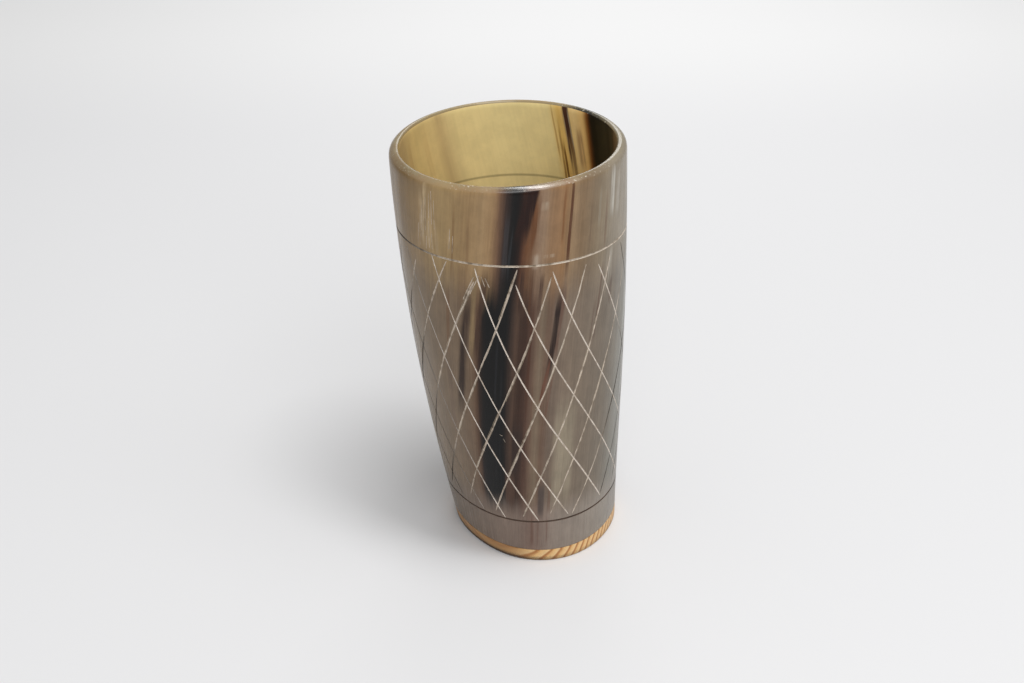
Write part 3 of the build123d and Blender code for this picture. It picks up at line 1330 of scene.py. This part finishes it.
    def blank_bar(self) -> bpy.types.Object:
        """A three-sided bar, cut across many times, that every stroke is bent from.

        Returns:
            The bar, one unit long on Z.
        """
        bpy.ops.object.select_all(action="DESELECT")
        bpy.ops.mesh.primitive_cylinder_add(vertices=3, radius=1.0, depth=1.0, end_fill_type="NGON")
        bar = bpy.context.object
        bar.name = "stroke_bar"
        bpy.ops.object.mode_set(mode="EDIT")
        bpy.ops.mesh.select_all(action="DESELECT")
        bpy.ops.object.mode_set(mode="OBJECT")
        for edge in bar.data.edges:
            low, high = (bar.data.vertices[k].co.z for k in edge.vertices)
            edge.select = (low > 0.0) != (high > 0.0)
        bpy.ops.object.mode_set(mode="EDIT")
        bpy.ops.mesh.select_mode(type="EDGE")
        bpy.ops.mesh.subdivide(number_cuts=self.bar_steps - 1)
        bpy.ops.object.mode_set(mode="OBJECT")
        return bar

    def bend_bar(self, bar: bpy.types.Object, stroke: Stroke) -> bpy.types.Object:
        """Copy the bar and lay it along a stroke, keel inwards.

        Args:
            bar: The bar.
            stroke: The stroke.

        Returns:
            The bent copy.
        """
        copy = bar.copy()
        copy.data = bar.data.copy()
        bpy.context.collection.objects.link(copy)
        draw = random.Random(f"hand {stroke.hand}")
        waves = [(draw.uniform(*self.wave_turns), draw.uniform(0.0, math.tau)) for _ in range(self.waves)]
        pressure = [draw.uniform(1.0 - stroke.fray, 1.0 + stroke.fray) for _ in range(self.bar_steps + 1)]
        drop = stroke.bottom - stroke.top
        proud = min(self.proud, 2.0 * stroke.depth)
        for vertex in copy.data.vertices:
            share = vertex.co.z + 0.5
            station = round(share * self.bar_steps)
            height = stroke.top + share * drop
            ahead_height = height + self.look_ahead * drop
            here, out = self.on_surface(self.azimuth(stroke, height), height)
            ahead, _ = self.on_surface(self.azimuth(stroke, ahead_height), ahead_height)
            side = (ahead - here).normalized().cross(out).normalized()
            sway = sum(math.sin(turns * share * math.tau + start) for turns, start in waves) / len(waves)
            ease = min(1.0, self.blunt + min(share, 1.0 - share) / self.taper)
            half = stroke.width / 2.0 * pressure[station] * ease
            deep = stroke.depth * pressure[station] * ease
            centre = here + side * ((stroke.beside + stroke.wander * sway) * MM)
            keel = vertex.co.y > 0.5
            if keel:
                vertex.co = centre - out * (deep * MM)
            else:
                reach = math.copysign(half * (1.0 + proud / deep), vertex.co.x)
                vertex.co = centre + out * (proud * MM) + side * (reach * MM)
        return copy

    def stroke_cutter(self, strokes: Sequence[Stroke]) -> bpy.types.Object:
        """Some strokes as one cutting tool.

        Args:
            strokes: The strokes.

        Returns:
            The tool.
        """
        bar = self.blank_bar()
        bars = [self.bend_bar(bar, stroke) for stroke in strokes]
        bpy.data.objects.remove(bar)
        choose(*bars)
        bpy.ops.object.join()
        tool = bpy.context.object
        face_outwards(tool)
        return tool

    def ring_cutter(self, section: Section, stray: float) -> bpy.types.Object:
        """A three-sided hoop that cuts one ring.

        Args:
            section: Section of the horn that carries the ring.
            stray: How far the ring strays up and down, in millimetres.

        Returns:
            The tool.
        """
        bpy.ops.object.select_all(action="DESELECT")
        bpy.ops.mesh.primitive_torus_add(
            major_segments=self.ring_steps, minor_segments=3, major_radius=1.0, minor_radius=0.1
        )
        tool = bpy.context.object
        half = self.ring_width / 2.0 * (1.0 + self.proud / self.ring_depth)
        for vertex in tool.data.vertices:
            azimuth = math.degrees(math.atan2(vertex.co.y, vertex.co.x))
            height = section.height + stray * math.cos(math.radians(2.0 * (azimuth - FRONT)))
            here, out = self.on_surface(azimuth, height)
            keel = abs(vertex.co.z) < 0.01
            if keel:
                vertex.co = here - out * (self.ring_depth * MM)
            else:
                rise = math.copysign(half, vertex.co.z)
                vertex.co = here + out * (self.proud * MM) + Vector((0.0, 0.0, rise * MM))
        face_outwards(tool)
        return tool


class Surface(Enum):
    """The wall's surfaces, each with the place of its material."""

    OUTSIDE = 0
    INSIDE = 1
    LIP = 2
    FALLING = 3
    RISING = 4
    HAIRLINE = 5
    LOWER_RING = 6
    UPPER_RING = 7


@dataclass
class HornSleeve:
    """The horn wall with its rounded lip, socket and engraving."""

    form: HornForm = HornForm()
    engraving: Engraving = Engraving()
    around: int = 240
    outer_step: float = 1.55
    inner_step: float = 3.0
    lip_height: float = 2.6
    # The outer edge of the lip as worn: how far in and how far up each step lies
    lip_outside: tuple[Range, ...] = (
        (0.05, 0.45),
        (0.14, 0.92),
        (0.3, 1.34),
        (0.54, 1.68),
        (0.82, 1.95),
        (1.1, 2.18),
        (1.36, 2.38),
        (1.58, 2.52),
        (1.76, 2.6),
    )
    lip_inside: float = 0.7
    lip_steps: int = 8
    lip_from_step: int = 3
    socket_ledge: float = 0.6
    weld: float = 0.001
    crease: float = 28.0
    finishes: list[bpy.types.Material] = field(default_factory=list)

    def rings(self) -> tuple[list[Ring], int, int]:
        """The outline of the wall, up the outside, over the lip and down the inside.

        Returns:
            The rings, and the numbers of the first ones of the lip and of the inside.
        """
        form = self.form
        lip = form.rim.height
        rings = level_rings(form.outside, form.joint_height, lip, self.outer_step)
        lip_from = len(rings) + self.lip_from_step
        rings += [Ring(form.outside(lip), lip + rise, inset) for inset, rise in self.lip_outside]
        inner_from = len(rings) + self.lip_steps // 2
        inner = quarter_round(self.lip_inside, self.lip_height, self.lip_steps)
        rings += [Ring(form.inside(lip), lip + rise, -inset) for inset, rise in reversed(inner)]
        rings += level_rings(form.inside, lip, form.floor_height, self.inner_step)
        floor = form.inside(form.floor_height)
        socket = (form.floor_height, form.joint_height)
        rings += [Ring(floor, height, -self.socket_ledge) for height in socket]
        return rings, lip_from, inner_from

    def make_finishes(self) -> list[bpy.types.Material]:
        """Make the materials, in the order of Surface.

        Returns:
            The materials.
        """
        falling = ScratchFinish(
            "falling_stroke",
            tone(230, 221, 211),
            tone(200, 187, 173),
            unshaded_from=-24.0,
            left_fade=48.0,
            left_drift=-0.2,
            unshaded_to=68.0,
            right_drift=-0.3,
        )
        rising = ScratchFinish(
            "rising_stroke",
            tone(200, 187, 172),
            tone(154, 140, 125),
            unshaded_from=-48.0,
            left_fade=20.0,
            left_drift=-0.2,
            unshaded_to=54.0,
            right_drift=0.4,
        )
        hairline = ScratchFinish("hairline", tone(164, 150, 130), tone(118, 104, 88), unshaded_to=50.0)
        lower = ScratchFinish("lower_ring", tone(86, 68, 55), tone(70, 55, 45))
        upper = ScratchFinish(
            "upper_ring",
            tone(204, 192, 177),
            tone(148, 132, 113),
            unshaded_from=-28.0,
            left_fade=48.0,
            unshaded_to=84.0,
        )
        engraved = (falling, rising, hairline, lower, upper)
        return [finish.material() for finish in (HornFinish(), HollowFinish(), LipFinish(), *engraved)]

    def cut(self, wall: bpy.types.Object, tool: bpy.types.Object, surface: Surface) -> None:
        """Take a tool's shape out of the wall and colour the cut.

        Args:
            wall: The wall.
            tool: The tool, used up here.
            surface: Which surface the cut shows.
        """
        dress(tool, self.finishes)
        for face in tool.data.polygons:
            face.material_index = surface.value
        cutter = wall.modifiers.new("engrave", "BOOLEAN")
        cutter.operation = "DIFFERENCE"
        cutter.solver = "MANIFOLD"
        cutter.object = tool
        choose(wall)
        bpy.ops.object.modifier_apply(modifier=cutter.name)
        bpy.data.objects.remove(tool)

    def engrave(self, wall: bpy.types.Object) -> None:
        """Cut all marks, the finest first, so that the bolder ones run through them.

        Args:
            wall: The wall.
        """
        marks = self.engraving
        lines = (
            (marks.hairlines(), Surface.HAIRLINE),
            (marks.slip_strokes(), Surface.RISING),
            (marks.strokes(Lean.RISING), Surface.RISING),
            (marks.strokes(Lean.FALLING), Surface.FALLING),
        )
        for strokes, surface in lines:
            self.cut(wall, marks.stroke_cutter(strokes), surface)
        self.cut(wall, marks.ring_cutter(self.form.lower_ring, marks.lower_stray), Surface.LOWER_RING)
        self.cut(wall, marks.ring_cutter(self.form.upper_ring, marks.upper_stray), Surface.UPPER_RING)

    def clean(self, wall: bpy.types.Object) -> None:
        """Merge the slivers that the cuts left, and divide their many-sided faces.

        Args:
            wall: The engraved wall.
        """
        choose(wall)
        bpy.ops.object.mode_set(mode="EDIT")
        bpy.ops.mesh.select_all(action="SELECT")
        bpy.ops.mesh.remove_doubles(threshold=self.weld * MM)
        bpy.ops.mesh.select_all(action="DESELECT")
        bpy.ops.mesh.select_face_by_sides(number=4, type="GREATER", extend=False)
        bpy.ops.mesh.quads_convert_to_tris(quad_method="BEAUTY", ngon_method="BEAUTY")
        bpy.ops.object.mode_set(mode="OBJECT")

    def build(self) -> None:
        """Model, dress and engrave the wall."""
        rings, lip_from, inner_from = self.rings()
        wall = stack_rings("horn_sleeve", rings, self.around, Ends.JOINED)
        self.finishes = self.make_finishes()
        dress(wall, self.finishes)
        last = len(rings) - 1
        for face in wall.data.polygons:
            numbers = [index // self.around for index in face.vertices]
            underside = min(numbers) == 0 and max(numbers) == last
            if underside or max(numbers) < lip_from:
                surface = Surface.OUTSIDE
            else:
                surface = Surface.INSIDE if min(numbers) >= inner_from else Surface.LIP
            face.material_index = surface.value
        self.engrave(wall)
        self.clean(wall)
        enter(wall, "horn_wall", self.crease)


@dataclass
class PineBase:
    """The softwood base: a band flush with the horn and a spigot inside it."""

    form: HornForm = HornForm()
    around: int = 192
    foot_round: float = 0.6
    foot_steps: int = 5
    band_step: float = 0.8
    edge_round: float = 0.2
    edge_steps: int = 3
    glue_film: float = 0.2
    spigot_inset: float = 4.2
    crease: float = 35.0

    def build(self) -> None:
        """Model and dress the base."""
        form = self.form
        foot = self.foot_round
        top = form.joint_height - self.glue_film
        edge = top - self.edge_round
        turned = reversed(quarter_round(foot, foot, self.foot_steps))
        rings = [Ring(form.outside(foot), foot - rise, inset) for inset, rise in turned]
        rings += level_rings(form.outside, foot, edge, self.band_step)
        for inset, rise in quarter_round(self.edge_round, self.edge_round, self.edge_steps):
            rings.append(Ring(form.outside(edge + rise), edge + rise, inset))
        floor = form.floor_section()
        spigot = Outline(floor.lean, floor.radius, floor.foot_share, form.side_swell)
        rings += [Ring(spigot, height, self.spigot_inset) for height in (top, form.floor_height)]
        base = stack_rings("pine_base", rings, self.around, Ends.CAPPED)
        dress(base, [PineFinish().material()])
        enter(base, "wooden_base", self.crease)


@dataclass
class FloorCoat:
    """The waterproof coat over the spigot, drawn up the wall all round."""

    form: HornForm = HornForm()
    around: int = 96
    coat: float = 0.5
    rise: float = 1.6
    lip: float = 0.25
    curve: float = 1.9
    curve_steps: int = 7
    inner_rings: int = 4
    inner_share: float = 0.9
    gap: float = 0.02
    crease: float = 40.0

    def build(self) -> None:
        """Model and dress the coat."""
        form = self.form
        low = form.floor_height
        high = low + self.rise
        wall = form.inside(low)
        rings = [Ring(wall, low, self.gap), Ring(form.inside(high), high, self.gap)]
        climb = self.rise - self.coat
        for k in range(self.curve_steps + 1):
            share = k / self.curve_steps
            drop = climb * (1.0 - (1.0 - share) ** 2)
            rings.append(Ring(form.inside(high - drop), high - drop, self.lip + share * self.curve))
        reach = wall.radius - self.lip - self.curve
        for k in range(1, self.inner_rings + 1):
            inset = self.lip + self.curve + reach * self.inner_share * k / self.inner_rings
            rings.append(Ring(wall, low + self.coat, inset))
        coat = stack_rings("floor_coat", rings, self.around, Ends.CAPPED)
        dress(coat, [CoatFinish().material()])
        enter(coat, "floor_seal", self.crease)


@dataclass
class GlueLine:
    """The glue film between base and horn, kept as its solid."""

    node: str = "glue_line"

    def dress(self) -> None:
        """Give the solid its finish."""
        dress(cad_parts[self.node], [GlueFinish().material()])
        LOG.info("%s: solid kept, with dried glue", self.node)


@dataclass(frozen=True)
class Softbox:
    """A lamp: place, side and aim in metres, power in watts, and its length in sides."""

    name: str
    place: Triple
    side: float
    power: float
    aim: Triple = (0.0, 0.0, 0.06)
    stretch: float = 1.0

    def hang(self) -> None:
        """Put the lamp in the scene."""
        data = bpy.data.lights.new(self.name, "AREA")
        data.shape = "RECTANGLE"
        data.size = self.side
        data.size_y = self.side * self.stretch
        data.energy = self.power
        lamp = bpy.data.objects.new(self.name, data)
        lamp.location = self.place
        lamp.rotation_euler = (Vector(self.aim) - Vector(self.place)).to_track_quat("-Z", "Y").to_euler()
        bpy.context.scene.collection.objects.link(lamp)


@dataclass
class Studio:
    """Pale floor, soft light and the camera."""

    floor_side: float = 16.0
    floor_roughness: float = 0.8
    floor_ior: float = 1.2
    # The floor is painted a little lighter towards the back: a painted pool of light
    near: Colour = tone(229, 229, 230)
    far_lit: Colour = tone(236, 236, 236)
    far_from: float = 0.34
    far_to: float = 0.52
    sky: Colour = (1.0, 1.0, 1.0, 1.0)
    sky_strength: float = 0.383
    lamps: tuple[Softbox, ...] = (
        Softbox("key", (0.62, -0.42, 1.35), 1.0, 4.2),
        Softbox("overhead", (0.27, -0.24, 1.58), 0.3, 9.7, stretch=2.8),
        Softbox("front", (0.25, -1.2, 1.0), 1.0, 7.2),
        Softbox("behind", (0.06, 0.62, 0.45), 0.3, 0.7, (0.02, 0.52, 0.0)),
    )
    lens: float = 63.28
    sensor: float = 36.0
    target: Triple = (-0.00862, 0.0, 0.06898)
    distance: float = 0.6042
    elevation: float = 28.65

    def floor(self) -> None:
        """Lay the floor."""
        bpy.ops.object.select_all(action="DESELECT")
        bpy.ops.mesh.primitive_plane_add(size=self.floor_side, location=(0.0, 0.0, 0.0))
        floor = bpy.context.object
        floor.name = "studio_floor"
        shader = Shader("studio_floor")
        depth = shader.axes(shader.object_place())[1]
        colour = shader.mix(shader.span(depth, self.far_from, self.far_to), self.near, self.far_lit)
        dress(floor, [shader.finish(colour, self.floor_roughness, self.floor_ior)])

    def light(self) -> None:
        """Hang the lamps and set the sky."""
        world = bpy.data.worlds.new("studio")
        world.use_nodes = True
        back = world.node_tree.nodes["Background"]
        back.inputs["Color"].default_value = self.sky
        back.inputs["Strength"].default_value = self.sky_strength
        bpy.context.scene.world = world
        for lamp in self.lamps:
            lamp.hang()

    def camera(self) -> None:
        """Stand the camera where the cup was seen from."""
        data = bpy.data.cameras.new("camera")
        data.lens = self.lens
        data.sensor_width = self.sensor
        camera = bpy.data.objects.new("camera", data)
        pitch = math.radians(self.elevation)
        back = Vector((0.0, -math.cos(pitch), math.sin(pitch))) * self.distance
        camera.location = Vector(self.target) + back
        camera.rotation_euler = (-back).to_track_quat("-Z", "Y").to_euler()
        bpy.context.scene.collection.objects.link(camera)
        bpy.context.scene.camera = camera

    def build(self) -> None:
        """Make the whole studio."""
        self.floor()
        self.light()
        self.camera()
        bpy.context.scene.view_settings.view_transform = "Standard"
        LOG.info("studio: floor, %d lamps and camera", len(self.lamps))


def main() -> None:
    """Build the cup and its studio, and report each piece."""
    logging.basicConfig(level=logging.INFO, format="%(name)s: %(message)s")
    bpy.ops.object.select_all(action="DESELECT")
    Studio().build()
    HornSleeve().build()
    PineBase().build()
    FloorCoat().build()
    GlueLine().dress()


if __name__ == "__main__":
    main()
